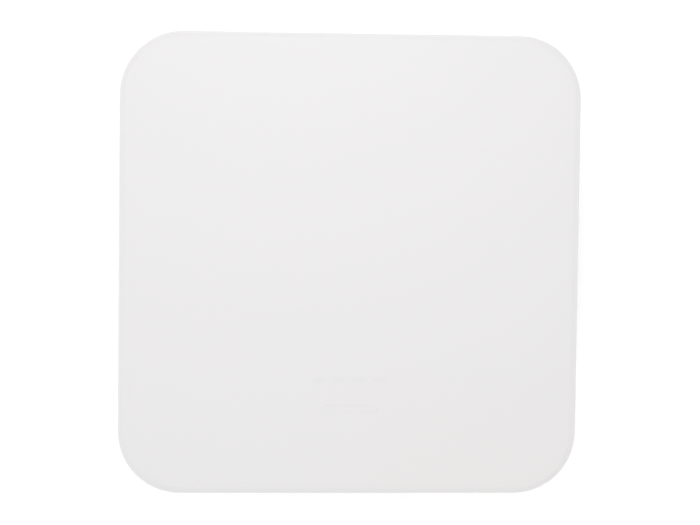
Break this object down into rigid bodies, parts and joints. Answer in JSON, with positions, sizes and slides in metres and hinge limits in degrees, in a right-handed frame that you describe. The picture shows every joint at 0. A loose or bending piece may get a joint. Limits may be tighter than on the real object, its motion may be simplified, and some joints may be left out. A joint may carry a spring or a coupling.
{
  "type": "ceiling access point",
  "caption": "Rounded-square white ceiling access point with a twist-on steel bracket, cable bay with ports, and antennas inside.",
  "frame": {"origin": "middle of the ceiling plane, where the bracket's feet meet the ceiling", "axes": "+Z points out of the ceiling towards the room, through the cover's face; +X is right and +Y is up as the cover is seen from the room"},
  "size_m": [0.21, 0.21, 0.0437],
  "materials": {
    "cover_plastic": "fine moulded texture, warm white",
    "housing_paint": "white powder coat on an aluminium casting",
    "liner_plastic": "grey moulded plastic",
    "bracket_steel": "galvanised sheet",
    "zinc_steel": "zinc plated",
    "screw_steel": "nickel plated",
    "spacer_brass": "turned",
    "label_film": "matt film",
    "board_laminate": "solder mask",
    "chip_black": "moulded epoxy",
    "thermal_pad": "soft, dull",
    "transformer_ferrite": "ferrite",
    "capacitor_can": "satin",
    "shield_tin": "tin plated",
    "jack_shell": "nickel plated",
    "contact_gold": "gold plated",
    "jack_light": "clear",
    "port_plastic": "black",
    "button_plastic": "red",
    "led_lens": "clear resin",
    "light_pipe_clear": "frosted clear",
    "plate_aluminium": "mill finish",
    "antenna_tin": "tin plated",
    "antenna_carrier": "printed on a moulded carrier",
    "coax_grey": "sleeve",
    "coax_black": "sleeve"
  },
  "bodies": {
    "bracket": {"bracket_plate": "bracket_steel"},
    "access_point": {"antenna_24ghz_1": "antenna_tin", "antenna_24ghz_2": "antenna_tin", "antenna_24ghz_3": "antenna_tin", "antenna_24ghz_4": "antenna_tin", "antenna_5ghz_1": "antenna_tin", "antenna_5ghz_2": "antenna_tin", "antenna_5ghz_3": "antenna_tin", "antenna_5ghz_4": "antenna_tin", "antenna_bluetooth": "antenna_carrier", "antenna_plate": "plate_aluminium", "antenna_plate_screws": "screw_steel", "bay_liner": "liner_plastic", "blank_label": "label_film", "board_screws": "screw_steel", "board_standoffs": "spacer_brass", "capacitors": "capacitor_can", "coax_24ghz_1": "coax_black", "coax_24ghz_2": "coax_black", "coax_24ghz_3": "coax_black", "coax_24ghz_4": "coax_black", "coax_5ghz_1": "coax_grey", "coax_5ghz_2": "coax_grey", "coax_5ghz_3": "coax_grey", "coax_5ghz_4": "coax_grey", "coax_bluetooth": "coax_grey", "coax_plugs": "contact_gold", "cover_screws": "screw_steel", "front_cover": "cover_plastic", "front_end_chips": "chip_black", "inductors": "transformer_ferrite", "jack_contacts": "contact_gold", "jack_lights": "jack_light", "light_pipe": "light_pipe_clear", "main_board": "board_laminate", "memory_chips": "chip_black", "mounting_studs": "screw_steel", "power_jack": "port_plastic", "processor_chip": "chip_black", "radio_chips": "chip_black", "rear_housing": "housing_paint", "reset_switch": "port_plastic", "second_jack": "jack_shell", "shield_can_1": "shield_tin", "shield_can_2": "shield_tin", "shield_can_3": "shield_tin", "shield_can_4": "shield_tin", "status_leds": "led_lens", "supply_transformer": "transformer_ferrite", "thermal_pads": "thermal_pad", "uplink_jack": "jack_shell", "usb_port": "jack_shell"},
    "rail_clamp_left": {"rail_hook_left": "zinc_steel", "rail_hook_screw_left": "screw_steel"},
    "rail_clamp_right": {"rail_hook_right": "zinc_steel", "rail_hook_screw_right": "screw_steel"},
    "reset_button": {"reset_button": "button_plastic"}
  },
  "joints": [
    {"name": "twist_lock", "type": "hinge", "parent": "bracket", "child": "access_point", "pos_m": [0, 0, 0], "axis": [0, 0, 1], "range_deg": [0, 15]},
    {"name": "rail_clamp_left_turn", "type": "hinge", "parent": "bracket", "child": "rail_clamp_left", "pos_m": [-0.03, -0.0162, 0], "axis": [0, 0, 1], "range_deg": [0, 90]},
    {"name": "rail_clamp_right_turn", "type": "hinge", "parent": "bracket", "child": "rail_clamp_right", "pos_m": [0.03, -0.0162, 0], "axis": [0, 0, 1], "range_deg": [-90, 0]},
    {"name": "reset_press", "type": "slide", "parent": "access_point", "child": "reset_button", "axis": [0, 1, 0], "range_m": [0, 0.0004], "stiffness_N_per_m": 4000}
  ]
}
